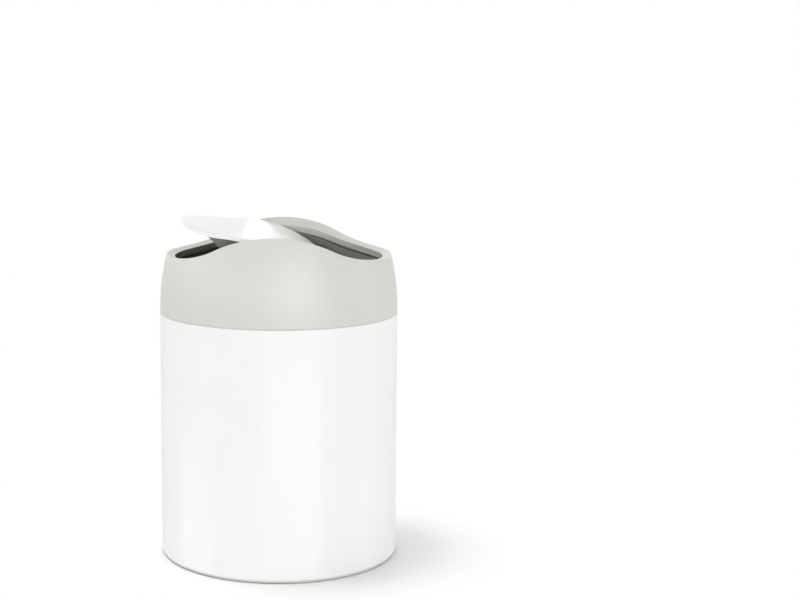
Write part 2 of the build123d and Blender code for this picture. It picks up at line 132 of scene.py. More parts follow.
@dataclass(frozen=True)
class Head:
    """The lines that the collar, its liner and the lid share."""

    radius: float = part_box("can_tube")[1].x / MM
    joint_height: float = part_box("mouth_ring")[1].z / MM
    pivot_height: float = (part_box("front_bushing")[0].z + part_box("front_bushing")[1].z) / 2 / MM
    straight: float = 1.2  # how far the collar stands upright above the joint
    arc_radius: float = 120.0
    end_flat: float = 6.0  # level tail of each wave
    rim_end_rise: float = 30.9
    rim_rise: float = 13.7
    rim_crest_radius: float = 66.0
    lip_inset: float = 4.9
    lip_height: float = 3.6
    lip_end_drop: float = 1.45
    lip_rise: float = 10.3
    lip_crest_radius: float = 72.0
    lid_end_drop: float = 3.45
    lid_rise: float = 11.1
    lid_crest_radius: float = 78.0
    tilt: float = math.radians(24.2)

    @property
    def rim(self) -> Wave:
        """The collar's upper outline."""
        tail = self.joint_height + self.rim_end_rise
        return Wave(tail, self.rim_rise, self.rim_crest_radius, self.radius - self.end_flat)

    @property
    def lip(self) -> Wave:
        """The inner edge of the collar's sloping lip."""
        tail = self.rim.tail_height - self.lip_end_drop
        return Wave(tail, self.lip_rise, self.lip_crest_radius, self.radius - self.end_flat)

    @property
    def lid(self) -> Wave:
        """The level lid's upper outline."""
        tail = self.rim.tail_height - self.lid_end_drop
        return Wave(tail, self.lid_rise, self.lid_crest_radius, self.radius - self.end_flat)

    def radius_at(self, height: float) -> float:
        """Radius of the collar's outside: straight above the joint, then one arc inwards."""
        climb = max(height - self.joint_height - self.straight, 0.0)
        return self.radius - self.arc_radius + math.sqrt(self.arc_radius**2 - climb**2)

    def meet(self, wave: Wave, inset: float, angle: float) -> tuple[float, float]:
        """Finds where a wave meets the collar's line.

        Args:
            wave: the outline along X.
            inset: how far inwards the collar's line is moved.
            angle: direction from +X, in radians.

        Returns:
            The radius and the height of the meeting point.
        """
        radius, height = self.radius - inset, wave.tail_height
        for _ in range(SEARCH_ROUNDS):
            height = wave.height(radius * math.cos(angle))
            radius = self.radius_at(height) - inset
        return radius, height

    def lip_top(self, inset: float, angle: float) -> float:
        """Height of the sloping lip, which runs from the rim's wave down to its inner edge.

        Args:
            inset: how far inwards of the collar's outside.
            angle: direction from +X, in radians.

        Returns:
            The lip's height there.
        """
        outer = self.meet(self.rim, 0.0, angle)[1]
        inner = self.meet(self.lip, self.lip_inset, angle)[1]
        return outer + (inner - outer) * inset / self.lip_inset


HEAD = Head()
RIM = HEAD.rim
LIP = HEAD.lip
LID = HEAD.lid


# ---------------------------------------------------------------- mesh tools


def rounded(mesh: BMesh, corners: Sequence[BMVert] | Sequence[BMEdge], size: float) -> BMesh:
    """Rounds off points of an outline or edges of a mesh.

    Args:
        mesh: the outline or the mesh.
        corners: its points or its edges.
        size: how far from a corner its rounding starts.

    Returns:
        The same mesh.
    """
    bmesh.ops.bevel(
        mesh,
        geom=corners,
        offset=size,
        offset_type="OFFSET",
        affect="EDGES" if isinstance(corners[0], BMEdge) else "VERTICES",
        segments=ROUND_SEGMENTS,
        profile=0.5,
        material=-1,
    )
    return mesh


def outline(corners: Iterable[Sequence[float]], closed: bool = True) -> BMesh:
    """Draws an outline in the plane of X and Z, with its corners rounded.

    Args:
        corners: one (x, z) or (x, z, rounding) for each corner, in order.
        closed: whether the last corner joins the first.

    Returns:
        A mesh of edges.
    """
    mesh = bmesh.new()
    corners = list(corners)
    verts = [mesh.verts.new((corner[0], 0.0, corner[1])) for corner in corners]
    ends = verts[1:] + verts[:1] if closed else verts[1:]
    for near, far in zip(verts, ends):
        mesh.edges.new((near, far))
    for vert, corner in zip(verts, corners):
        if len(corner) > 2:
            rounded(mesh, [vert], corner[2])
    return mesh


def divide(mesh: BMesh, longest: float) -> BMesh:
    """Divides each edge of an outline into equal parts, none longer than a length.

    Args:
        mesh: the outline.
        longest: the length that no edge is to pass.

    Returns:
        The same mesh.
    """
    for edge in list(mesh.edges):
        cuts = math.ceil(edge.calc_length() / longest) - 1
        if cuts > 0:
            bmesh.ops.subdivide_edges(mesh, edges=[edge], cuts=cuts)
    return mesh


def spun(mesh: BMesh, steps: int = RING_STEPS) -> BMesh:
    """Spins an outline all the way round Z, and closes its seam and poles.

    Args:
        mesh: the outline, in the plane of X and Z.
        steps: faces round the axis.

    Returns:
        The same mesh, now a surface.
    """
    bmesh.ops.spin(
        mesh,
        geom=mesh.verts[:] + mesh.edges[:],
        cent=(0, 0, 0),
        axis=(0, 0, 1),
        dvec=(0, 0, 0),
        angle=FULL_TURN,
        steps=steps,
        use_merge=True,
    )
    bmesh.ops.remove_doubles(mesh, verts=mesh.verts[:], dist=MERGE_DISTANCE)
    return mesh


def hoop(corners: Iterable[Sequence[float]], steps: int = RING_STEPS) -> BMesh:
    """Turns a ring round Z from its closed section."""
    return spun(outline(corners), steps)


def turned(corners: Iterable[Sequence[float]], steps: int = TURNED_STEPS) -> BMesh:
    """Turns a solid round Z from an outline that starts and ends on the axis."""
    return spun(outline(corners, closed=False), steps)


def cylinder(radius: float, bottom: float, top: float, steps: int = TURNED_STEPS) -> BMesh:
    """A plain round bar along Z, used to add bosses and cut holes."""
    return turned([(0, bottom), (radius, bottom), (radius, top), (0, top)], steps)


def block(size: Sequence[float], place: Matrix) -> BMesh:
    """A plain rib or fin, used to stiffen or stop another piece.

    Args:
        size: its lengths along X, Y and Z.
        place: where its middle lies and how it is turned.

    Returns:
        A closed mesh.
    """
    mesh = bmesh.new()
    bmesh.ops.create_cube(mesh, size=1.0, matrix=place @ Matrix.Diagonal((*size, 1)))
    return mesh


def moved(mesh: BMesh, matrix: Matrix) -> BMesh:
    """Applies a transform to all of a mesh."""
    bmesh.ops.transform(mesh, matrix=matrix, verts=mesh.verts[:])
    return mesh


def turns(count: int, start: float = 0.0) -> list[Matrix]:
    """Equal steps round Z, from +X or from a share of a step on from it."""
    return [Matrix.Rotation(FULL_TURN * (step + start) / count, 4, "Z") for step in range(count)]


def along_pivot(mesh: BMesh, side: Side) -> BMesh:
    """Lays what was turned round Z along the pivot, with +Z towards one end of it."""
    lay = Matrix.Rotation(-side.value * math.pi / 2, 4, "X")
    return moved(mesh, Matrix.Translation((0, 0, HEAD.pivot_height)) @ lay)


def tilted(mesh: BMesh) -> BMesh:
    """Turns a piece of the level lid about the pivot, to the pose that the bin is stored in."""
    pivot = Matrix.Translation((0, 0, HEAD.pivot_height))
    return moved(mesh, pivot @ Matrix.Rotation(HEAD.tilt, 4, "Y") @ pivot.inverted())


def mesh_data(name: str, mesh: BMesh) -> bpy.types.Mesh:
    """Turns a mesh in the making into one that an object can hold, and frees it.

    Args:
        name: what the result is called.
        mesh: the mesh in the making.

    Returns:
        The finished mesh.
    """
    data = bpy.data.meshes.new(name)
    mesh.to_mesh(data)
    mesh.free()
    return data


def added(name: str, data: bpy.types.ID) -> bpy.types.Object:
    """Adds an object to the scene.

    Args:
        name: the object's name.
        data: the mesh, lamp or camera that it shows.

    Returns:
        The object, at the origin.
    """
    thing = bpy.data.objects.new(name, data)
    bpy.context.scene.collection.objects.link(thing)
    return thing


def gathered(meshes: Iterable[BMesh]) -> BMesh:
    """Puts several meshes into one, each still by itself, and frees them.

    Args:
        meshes: the meshes, in the order that they keep.

    Returns:
        One mesh.
    """
    whole = bmesh.new()
    for mesh in meshes:
        part = mesh_data("part", mesh)
        whole.from_mesh(part)
        bpy.data.meshes.remove(part)
    return whole


def combined(base: BMesh, tool: BMesh, operation: Operation) -> BMesh:
    """Adds a closed mesh to another or cuts it away, and frees both.

    Args:
        base: the mesh that stays.
        tool: the mesh that is added or cut away.
        operation: which of the two.

    Returns:
        The combined mesh.
    """
    works = []
    for mesh in (base, tool):
        bmesh.ops.recalc_face_normals(mesh, faces=mesh.faces[:])
        works.append(added("work", mesh_data("work", mesh)))
    modifier = works[0].modifiers.new("combine", "BOOLEAN")
    modifier.solver = "MANIFOLD"
    modifier.operation = operation.value
    modifier.object = works[1]
    depsgraph = bpy.context.evaluated_depsgraph_get()
    result = bmesh.new()
    result.from_mesh(works[0].evaluated_get(depsgraph).to_mesh())
    for work in works:
        data = work.data
        bpy.data.objects.remove(work)
        bpy.data.meshes.remove(data)
    return result


def follow_waves(
    mesh: BMesh, lift: Callable[[float, float, float], float], low: float, high: float
) -> BMesh:
    """Makes a straight tube follow the collar's line and one of the waves.

    Args:
        mesh: the tube, as it is at the collar's low ends.
        lift: from a point's inset, height and angle, the wave's height there above its low end.
        low: height up to which the tube isn't stretched.
        high: height from which it moves by all of the lift.

    Returns:
        The same mesh.
    """
    for vert in mesh.verts:
        angle = math.atan2(vert.co.y, vert.co.x)
        inset = HEAD.radius - math.hypot(vert.co.x, vert.co.y)
        share = min(max((vert.co.z - low) / (high - low), 0.0), 1.0)
        height = vert.co.z + share * lift(inset, vert.co.z, angle)
        radius = HEAD.radius_at(height) - inset
        vert.co = (radius * math.cos(angle), radius * math.sin(angle), height)
    return mesh


def copied(node: str) -> BMesh:
    """A merged copy of a frame node's mesh, in millimetres.

    Args:
        node: the node's name.

    Returns:
        A mesh of its own, in its place.
    """
    mesh = bmesh.new()
    mesh.from_mesh(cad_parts[node].data)
    bmesh.ops.scale(mesh, vec=(1 / MM, 1 / MM, 1 / MM), verts=mesh.verts[:])
    bmesh.ops.remove_doubles(mesh, verts=mesh.verts[:], dist=MERGE_DISTANCE)
    return mesh


# ---------------------------------------------------------------- finishes


def linear(hex_code: str) -> tuple[float, float, float, float]:
    """Turns an sRGB hex colour into linear red, green, blue and alpha, by the sRGB standard.

    Args:
        hex_code: the colour, such as "#ffffff".

    Returns:
        The four parts, from 0 to 1.
    """
    parts = [int(hex_code[place : place + 2], 16) / 255 for place in (1, 3, 5)]
    red, green, blue = (
        part / 12.92 if part <= 0.04045 else ((part + 0.055) / 1.055) ** 2.4 for part in parts
    )
    return red, green, blue, 1.0


def per_metre(size: float) -> float:
    """The texture scale of a pattern that repeats every size millimetres."""
    return 1 / (size * MM)


def empty_tree(owner: bpy.types.Material | bpy.types.World) -> bpy.types.NodeTree:
    """Gives a material or the world nodes of its own, with none in them yet.

    Args:
        owner: the material or the world.

    Returns:
        Its nodes.
    """
    owner.use_nodes = True
    owner.node_tree.nodes.clear()
    return owner.node_tree


def add_node(
    tree: bpy.types.NodeTree,
    kind: str,
    settings: Mapping[str | int, object] | None = None,
    links: Mapping[str | int, bpy.types.NodeSocket] | None = None,
) -> bpy.types.Node:
    """Adds a node to a tree.

    Args:
        tree: the material's or the world's nodes.
        kind: the node's type.
        settings: values by the name of a property, or by the name or number of an input.
        links: output sockets by the name or number of the input that each one feeds.

    Returns:
        The new node.
    """
    node = tree.nodes.new(kind)
    for name, value in (settings or {}).items():
        if isinstance(name, str) and hasattr(node, name):
            setattr(node, name, value)
        else:
            node.inputs[name].default_value = value
    for name, socket in (links or {}).items():
        tree.links.new(socket, node.inputs[name])
    return node


@dataclass(frozen=True)
class Finish:
    """A surface: two tones that it drifts between, a gloss that varies with them, and a fine grain.

    Sizes are in millimetres.
    """

    name: str
    slot: str
    colour: str
    other_colour: str
    roughness: float
    roughness_spread: float = 0.04
    ior: float = 1.5
    metallic: float = 0.0
    drift_size: float = 40.0
    drift_detail: float = 3.0
    drift_fineness: float = 0.55
    drift_low: float = 0.3  # the drift's noise at the first tone
    drift_high: float = 0.7  # and at the other one
    grain_size: float = 1.0
    grain_detail: float = 2.0
    grain_height: float = 0.01

    def material(self) -> bpy.types.Material:
        """The finish as a material, made once.

        Returns:
            The same material at every call.
        """
        made = bpy.data.materials.get(self.name)
        if made:
            return made
        made = bpy.data.materials.new(self.name)
        tree = empty_tree(made)
        place = {"Vector": add_node(tree, "ShaderNodeTexCoord").outputs["Object"]}
        noise = {
            "Scale": per_metre(self.drift_size),
            "Detail": self.drift_detail,
            "Roughness": self.drift_fineness,
        }
        drift = add_node(tree, "ShaderNodeTexNoise", noise, place)
        ends = {"From Min": self.drift_low, "From Max": self.drift_high}
        share = add_node(tree, "ShaderNodeMapRange", ends, {"Value": drift.outputs["Fac"]})
        tones = {"data_type": "RGBA", MIX_A: linear(self.colour), MIX_B: linear(self.other_colour)}
        tone = add_node(tree, "ShaderNodeMix", tones, {0: share.outputs["Result"]})
        ends = {
            "To Min": self.roughness - self.roughness_spread,
            "To Max": self.roughness + self.roughness_spread,
        }
        gloss = add_node(tree, "ShaderNodeMapRange", ends, {"Value": share.outputs["Result"]})
        noise = {"Scale": per_metre(self.grain_size), "Detail": self.grain_detail}
        grain = add_node(tree, "ShaderNodeTexNoise", noise, place)
        depth = {"Strength": 1.0, "Distance": self.grain_height * MM}
        bump = add_node(tree, "ShaderNodeBump", depth, {"Height": grain.outputs["Fac"]})
        values = {"Metallic": self.metallic, "IOR": self.ior}
        links = {
            "Base Color": tone.outputs[MIX_RESULT],
            "Roughness": gloss.outputs["Result"],
            "Normal": bump.outputs["Normal"],
        }
        surface = add_node(tree, "ShaderNodeBsdfPrincipled", values, links)
        add_node(tree, "ShaderNodeOutputMaterial", links={"Surface": surface.outputs["BSDF"]})
        return made


# Polyester powder coat, baked on steel sheet: a smooth film with a good gloss and a faint orange
# peel, whose dimples are about 3 mm apart and soften the edges of what it reflects.
POWDER_COAT = Finish(
    "white_polyester_powder_coat",
    "white_powder_coat",
    "#f5f5f5",
    "#f7f7f6",
    roughness=0.2,
    roughness_spread=0.02,
    drift_size=60.0,
    grain_size=3.0,
    grain_height=0.008,
)
# ABS moulded in a spark-eroded mould: warm light grey and satin. Its grain is about 0.4 mm wide,
# drawn at 0.7 mm so that it shows.
SATIN_ABS = Finish(
    "warm_grey_spark_textured_abs",
    "grey_plastic",
    "#d7d6d1",
    "#d5d4ce",
    roughness=0.38,
    ior=1.53,
    drift_size=35.0,
    grain_size=0.7,
    grain_height=0.02,
)
# ABS moulded in a polished mould: white and glossy, with the slow waves of a thin moulded sheet.
GLOSS_ABS = Finish(
    "white_polished_abs",
    "white_gloss_plastic",
    "#f0f0f0",
    "#eeeeee",
    roughness=0.14,
    roughness_spread=0.02,
    ior=1.53,
    drift_size=50.0,
    grain_size=14.0,
    grain_height=0.02,
)
# ABS from an unpolished mould, dull, for the trough that is hidden under the lid. Its neutral mid
# grey is painted shade, darkened to stand in for the shade that falls on it under the lid.
SHADE_GREY_ABS = Finish(
    "trough_abs_painted_shade_grey",
    "mid_grey_plastic",
    "#747475",
    "#6d6d6f",
    roughness=0.55,
    ior=1.53,
    grain_size=0.9,
    grain_height=0.02,
)
# The same ABS in a warmer grey, dull from its unpolished mould, for the lining in the collar. Its
# warm mid grey is partly the lining's own darker plastic and partly painted shade, darkened to
# stand in for the shade deep inside the collar.
LINING_ABS_AND_SHADE = Finish(
    "lining_abs_grey_and_painted_shade",
    "inner_grey_plastic",
    "#9c9c93",
    "#95958c",
    roughness=0.5,
    ior=1.53,
    grain_size=0.9,
    grain_height=0.02,
)
# Thermoplastic rubber for the feet: nearly black, with no gloss.
DARK_RUBBER = Finish(
    "black_non_slip_rubber",
    "dark_rubber",
    "#2b2b2b",
    "#333232",
    roughness=0.82,
    ior=1.52,
    drift_size=3.0,
    grain_size=0.5,
    grain_height=0.03,
)
# Thermoplastic rubber for the grip band: pale grey and dull.
PALE_RUBBER = Finish(
    "pale_grey_soft_rubber",
    "pale_rubber",
    "#b9b9b6",
    "#b2b2ae",
    roughness=0.7,
    drift_size=12.0,
    grain_size=0.6,
    grain_height=0.02,
)
# Acetal copolymer, natural: milky white and slippery.
ACETAL = Finish(
    "natural_white_acetal",
    "white_acetal",
    "#e6e6e1",
    "#dfdfd9",
    roughness=0.35,
    ior=1.48,
    drift_size=6.0,
    grain_size=0.5,
    grain_height=0.008,
)
# Turned and stamped steel, bare: a cool grey metal with fine tool marks.
BARE_STEEL = Finish(
    "bare_turned_steel",
    "steel",
    "#c4c4c6",
    "#b4b4b8",
    roughness=0.32,
    roughness_spread=0.1,
    metallic=1.0,
    drift_size=2.5,
    grain_size=0.3,
    grain_height=0.006,
)
# Zinc-plated bar with a clear passivation: a slightly blue, cloudy metal.
ZINC_PLATE = Finish(
    "clear_zinc_plated_steel",
    "zinc_steel",
    "#c2c6ca",
    "#a9aeb6",
    roughness=0.4,
    roughness_spread=0.12,
    metallic=1.0,
    drift_size=5.0,
    grain_size=1.2,
)


def add_piece(
    name: str, mesh: BMesh, body: Body, finish: Finish, nodes: Sequence[str]
) -> bpy.types.Object:
    """Makes a finished mesh in millimetres a piece that rides on its body.

    Args:
        name: the piece's name.
        mesh: its mesh, which is freed.
        body: the body that it moves with.
        finish: its surface.
        nodes: the frame's nodes that it stands for.

    Returns:
        The piece.
    """
    bmesh.ops.recalc_face_normals(mesh, faces=mesh.faces[:])
    for face in mesh.faces:
        face.smooth = True
    for edge in mesh.edges:
        edge.smooth = edge.calc_face_angle(0.0) < SHARP_ANGLE
    open_edges = sum(len(edge.link_faces) != 2 for edge in mesh.edges)
    bmesh.ops.scale(mesh, vec=(MM, MM, MM), verts=mesh.verts[:])
    data = mesh_data(name, mesh)
    data.materials.append(finish.material())
    piece = added(name, data)
    shading = piece.modifiers.new("even_shading", "WEIGHTED_NORMAL")
    shading.keep_sharp = True
    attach(piece, body.value)
    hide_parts(*nodes)
    log.info("%s: %d faces, %d open edges, %s", name, len(data.polygons), open_edges, finish.name)
    return piece


# ---------------------------------------------------------------- sub-assemblies


@dataclass(frozen=True)
class Can:
    """The steel can: a rolled tube, its pressed bottom, and the ring over its cut upper edge."""

    wall: float = 0.8
    bottom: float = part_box("can_tube")[0].z / MM
    top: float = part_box("can_tube")[1].z / MM
    edge_round: float = 0.35
    seam_half_width: float = 0.8
    seam_cuts: tuple[float, ...] = (-1.0, -0.5, 0.0, 0.5, 1.0)  # shares of the half width
    seam_depth: float = 0.12
    pan_sheet: float = 0.6
    pan_floor: float = 6.0
    pan_crown: float = 1.2
    pan_border: float = 16.0
    pan_bend: float = 1.6
    fit_gap: float = 0.05
    flange_inset: float = 0.3
    skirt_wall: float = 1.1
    skirt_depth: float = 11.0
    small_round: float = 0.15

    @property
    def bore(self) -> float:
        """Inside radius of the tube."""
        return HEAD.radius - self.wall

    def tube(self) -> BMesh:
        """The rolled tube, with the shallow groove of its ground weld at the rear.

        Returns:
            A closed mesh, in its place.
        """
        mesh = hoop(
            [
                (self.bore, self.bottom, self.small_round),
                (HEAD.radius, self.bottom, self.edge_round),
                (HEAD.radius, self.top, self.small_round),
                (self.bore, self.top, self.small_round),
            ]
        )
        for share in self.seam_cuts:
            bmesh.ops.bisect_plane(
                mesh,
                geom=mesh.verts[:] + mesh.edges[:] + mesh.faces[:],
                plane_co=(share * self.seam_half_width, 0, 0),
                plane_no=(1, 0, 0),
            )
        for vert in mesh.verts:
            beside = abs(vert.co.x) / self.seam_half_width
            if vert.co.y > 0 and beside < 1 and vert.co.xy.length > HEAD.radius - self.edge_round:
                vert.co.y -= self.seam_depth * (1 + math.cos(beside * math.pi)) / 2
        return mesh

    def pan(self) -> BMesh:
        """The pressed bottom: a slightly raised middle, a flat border and a flange at the tube.

        Returns:
            A closed mesh, in its place.
        """
        outer = self.bore - self.fit_gap
        inner = outer - self.pan_sheet
        crown = outer - self.pan_border
        foot = crown + 2 * self.pan_crown
        low = self.pan_floor
        high = low + self.pan_sheet
        return turned(
            [
                (0, low + self.pan_crown),
                (crown, low + self.pan_crown, self.pan_sheet),
                (foot, low, self.pan_sheet),
                (inner, low, self.pan_bend - self.pan_sheet),
                (inner, self.bottom + self.fit_gap),
                (outer, self.bottom + self.fit_gap),
                (outer, high, self.pan_bend),
                (foot, high, self.pan_sheet),
                (crown, high + self.pan_crown, self.pan_sheet),
                (0, high + self.pan_crown),
            ],
            RING_STEPS,
        )

    def mouth_ring(self) -> BMesh:
        """The thin flange on the tube's edge, with a skirt inside the tube.

        Returns:
            A closed mesh, in its place.
        """
        outer = self.bore - self.fit_gap
        inner = outer - self.skirt_wall
        foot = self.top - self.skirt_depth
        return hoop(
            [
                (inner, HEAD.joint_height, self.small_round),
                (HEAD.radius - self.flange_inset, HEAD.joint_height, self.small_round),
                (HEAD.radius - self.flange_inset, self.top, self.small_round),
                (outer, self.top),
                (outer, foot, self.skirt_wall * WALL_ROUND),
                (inner, foot, self.skirt_wall * WALL_ROUND),
            ]
        )

    def dress(self) -> None:
        """Adds the can's pieces with their finishes."""
        add_piece("rolled_tube", self.tube(), Body.CAN, POWDER_COAT, ["can_tube"])
        add_piece("pressed_bottom", self.pan(), Body.CAN, POWDER_COAT, ["bottom_pan"])
        add_piece("edge_ring", self.mouth_ring(), Body.CAN, SATIN_ABS, ["mouth_ring"])


@dataclass(frozen=True)
class Foot:
    """The moulded ring under the can, with its ribs and its four soft feet."""

    bottom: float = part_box("base_ring")[0].z / MM
    inset: float = 0.5
    width: float = 12.4
    edge_height: float = 1.2
    edge_round: float = 0.4
    upstand: float = 3.2
    upstand_radius: float = 61.5
    upstand_wall: float = 1.9
    rib_wall: float = 1.2
    rib_count: int = 12
    rib_sink: float = 0.3
    pad_radius: float = 4.4
    pad_depth: float = 0.7
    pad_gap: float = 0.05
    pad_round: float = 0.3
    pad_count: int = 4

    @property
    def outer(self) -> float:
        """Outside radius of the ring."""
        return HEAD.radius - self.inset

    @property
    def bore(self) -> float:
        """Inside radius of the ring."""
        return self.outer - self.width

    def at_pads(self, mesh: BMesh) -> BMesh:
        """Repeats what is drawn on the axis at each of the feet.

        Args:
            mesh: what is repeated, which is freed.

        Returns:
            One mesh with all the copies.
        """
        across = Matrix.Translation(((self.outer + self.bore) / 2, 0, 0))
        copies = gathered(moved(mesh.copy(), turn @ across) for turn in turns(self.pad_count, 0.5))
        mesh.free()
        return copies

    def ribs(self) -> BMesh:
        """The radial ribs between the ring's two upright walls.

        Returns:
            One mesh with all the ribs.
        """
        near = self.bore + self.rib_wall - self.rib_sink
        far = self.upstand_radius - self.upstand_wall + self.rib_sink
        low = self.bottom + self.edge_height - self.rib_sink
        high = self.bottom + self.edge_height + self.upstand - self.rib_sink
        size = (far - near, self.rib_wall, high - low)
        middle = Matrix.Translation(((near + far) / 2, 0, (low + high) / 2))
        return gathered(block(size, turn @ middle) for turn in turns(self.rib_count))

    def ring(self) -> BMesh:
        """The ring: a flat foot, two upright walls with ribs between, and pockets for the feet.

        Returns:
            A closed mesh, in its place.
        """
        shelf = self.bottom + self.edge_height
        top = shelf + self.upstand
        inner_wall = self.bore + self.rib_wall
        outer_wall = self.upstand_radius - self.upstand_wall
        ring = hoop(
            [
                (self.bore, self.bottom, self.edge_round / 2),
                (self.outer, self.bottom, self.edge_round),
                (self.outer, shelf, self.edge_round / 2),
                (self.upstand_radius, shelf),
                (self.upstand_radius, top, self.edge_round),
                (outer_wall, top, self.edge_round),
                (outer_wall, shelf, self.edge_round / 2),
                (inner_wall, shelf, self.edge_round / 2),
                (inner_wall, top, self.edge_round),
                (self.bore, top, self.edge_round),
            ]
        )
        ring = combined(ring, self.ribs(), Operation.UNION)
        foot, roof = self.bottom - SPARE, self.bottom + self.pad_depth
        pockets = self.at_pads(cylinder(self.pad_radius + self.pad_gap, foot, roof))
        return combined(ring, pockets, Operation.DIFFERENCE)

    def pads(self) -> BMesh:
        """The soft feet, which stand proud of the ring.

        Returns:
            One mesh with all the feet.
        """
        top = self.bottom + self.pad_depth
        return self.at_pads(
            turned([(0, 0), (self.pad_radius, 0, self.pad_round), (self.pad_radius, top), (0, top)])
        )

    def dress(self) -> None:
        """Adds the foot's pieces with their finishes."""
        add_piece("foot_ring", self.ring(), Body.CAN, SATIN_ABS, ["base_ring"])
        add_piece("soft_feet", self.pads(), Body.CAN, DARK_RUBBER, ["foot_pads"])


@dataclass(frozen=True)
class Collar:
    """The wave-rimmed collar: outer shell, liner with its bearings, and the plug's grip band."""

    wall: float = 2.2
    rim_round: float = 0.6
    small_round: float = 0.3
    shadow_gap: float = 1.1
    liner_gap: float = 0.4
    liner_wall: float = 2.0
    plug_depth: float = 11.6
    bead_height: float = 3.5
    bead_width: float = 1.6
    band_depth: float = 0.6
    band_width: float = 4.0
    band_proud: float = 0.35
    band_from_end: float = 3.0
    bearing_face: float = 40.2
    flange: float = 1.0
    flange_radius: float = 3.4
    bush_radius: float = 2.55
    bush_bore: float = 1.55
    bush_length: float = 9.8
    boss_radius: float = 3.55
    fin_wall: float = 1.5
    fin_drop: float = 10.0
    fin_gap: float = 0.4
    face_length: float = 1.6  # longest face along the wall
    stretch_margin: float = 5.0  # what moves with the rim without being stretched

    @property
    def boss_face(self) -> float:
        """Distance of the bearing bosses' faces from the middle."""
        return self.bearing_face + self.flange

    @property
    def liner_inset(self) -> float:
        """How far the liner's outside lies within the collar's."""
        return self.wall + self.liner_gap

    @property
    def band_foot(self) -> float:
        """Lower edge of the grip band."""
        return HEAD.joint_height - self.plug_depth + self.band_from_end

    def lip_lift(self, inset: float, height: float, angle: float) -> float:
        """Rise of the lip over its low ends: the slope's own, or under the lip its inner edge's.

        Args:
            inset: how far the point lies inwards of the collar's outside.
            height: its height while the collar is level.
            angle: direction from +X, in radians.

        Returns:
            How far the point moves up.
        """
        under = LIP.tail_height - HEAD.lip_height / 2
        if inset > self.wall / 2 and height < under:
            return self.edge_lift(inset, height, angle)
        return HEAD.lip_top(inset, angle) - HEAD.lip_top(inset, 0.0)

    def edge_lift(self, inset: float, height: float, angle: float) -> float:
        """Rise of the lip's inner edge over its low ends."""
        return HEAD.meet(LIP, inset, angle)[1] - LIP.tail_height

    def shell(self) -> BMesh:
        """The outer shell, whose lip slopes in to the lid all round.

        Returns:
            A closed mesh, in its place.
        """
        lip_bore = HEAD.radius - HEAD.lip_inset
        wall_bore = HEAD.radius - self.wall
        under = LIP.tail_height - HEAD.lip_height
        section = outline(
            [
                (HEAD.radius, HEAD.joint_height, self.small_round),
                (HEAD.radius, RIM.tail_height, self.rim_round),
                (lip_bore, LIP.tail_height, self.small_round),
                (lip_bore, under, self.small_round),
                (wall_bore, under, self.small_round),
                (wall_bore, HEAD.joint_height, self.small_round),
            ]
        )
        mesh = spun(divide(section, self.face_length))
        low = HEAD.joint_height + HEAD.straight
        return follow_waves(mesh, self.lip_lift, low, under - self.small_round)

    def bosses(self) -> BMesh:
        """The bearing bosses and the stop fins, from inside the liner's wall inwards.

        Returns:
            One mesh with the closed parts, in their places.
        """
        parts = []
        for side in Side:
            parts.append(along_pivot(cylinder(self.boss_radius, self.boss_face, HEAD.radius), side))
            length = HEAD.radius - self.boss_face - self.fin_gap
            across = side.value * (self.boss_face + self.fin_gap + length / 2)
            place = Matrix.Translation((0, across, HEAD.pivot_height - self.fin_drop / 2))
            parts.append(block((self.fin_wall, length, self.fin_drop), place))
        whole = gathered(parts)
        middle_wall = self.liner_inset + self.liner_wall / 2
        for vert in whole.verts:
            if abs(vert.co.y) > HEAD.radius - SPARE:
                radius = HEAD.radius_at(vert.co.z) - middle_wall
                vert.co.y = math.copysign(math.sqrt(radius**2 - vert.co.x**2), vert.co.y)
        return whole

    def liner(self) -> BMesh:
        """The liner: a plug that goes into the can, a wall up to the lip, and the bearings.

        Returns:
            A closed mesh, in its place.
        """
        outside = HEAD.radius - self.liner_inset
        inside = outside - self.liner_wall
        foot = HEAD.joint_height - self.plug_depth
        top = LIP.tail_height - HEAD.lip_height - self.shadow_gap
        groove = outside - self.band_depth
        band_top = self.band_foot + self.band_width
        bead = HEAD.radius - self.wall
        bead_foot = HEAD.joint_height + self.bead_height
        bead_top = bead_foot + self.bead_width
        section = outline(
            [
                (inside, foot, self.liner_wall * WALL_ROUND),
                (outside, foot, self.liner_wall * WALL_ROUND),
                (outside, self.band_foot),
                (groove, self.band_foot),
                (groove, band_top),
                (outside, band_top),
                (outside, bead_foot),
                (bead, bead_foot),
                (bead, bead_top),
                (outside, bead_top),
                (outside, top, self.small_round),
                (inside, top, self.small_round),
            ]
        )
        mesh = spun(divide(section, self.face_length))
        follow_waves(mesh, self.edge_lift, bead_top, top - self.stretch_margin)
        mesh = combined(mesh, self.bosses(), Operation.UNION)
        end = self.boss_face + self.bush_length
        start = self.boss_face - SPARE
        bores = [along_pivot(cylinder(self.bush_radius, start, end), side) for side in Side]
        return combined(mesh, gathered(bores), Operation.DIFFERENCE)

    def band(self) -> BMesh:
        """The soft band round the plug.

        Returns:
            A closed mesh, in its place.
        """
        plug = HEAD.radius - self.liner_inset
        top = self.band_foot + self.band_width
        return hoop(
            [
                (plug - self.band_depth, self.band_foot),
                (plug + self.band_proud, self.band_foot, self.band_proud),
                (plug + self.band_proud, top, self.band_proud),
                (plug - self.band_depth, top),
            ]
        )

    def bush(self, side: Side) -> BMesh:
        """A flanged bush for one of the lid's pins.

        Args:
            side: which end of the pivot.

        Returns:
            A closed mesh, in its place.
        """
        end = self.boss_face + self.bush_length
        section = [
            (self.bush_bore, self.bearing_face, self.small_round / 2),
            (self.flange_radius, self.bearing_face, self.small_round),
            (self.flange_radius, self.boss_face),
            (self.bush_radius, self.boss_face),
            (self.bush_radius, end, self.small_round),
            (self.bush_bore, end),
        ]
        return along_pivot(hoop(section, TURNED_STEPS), side)

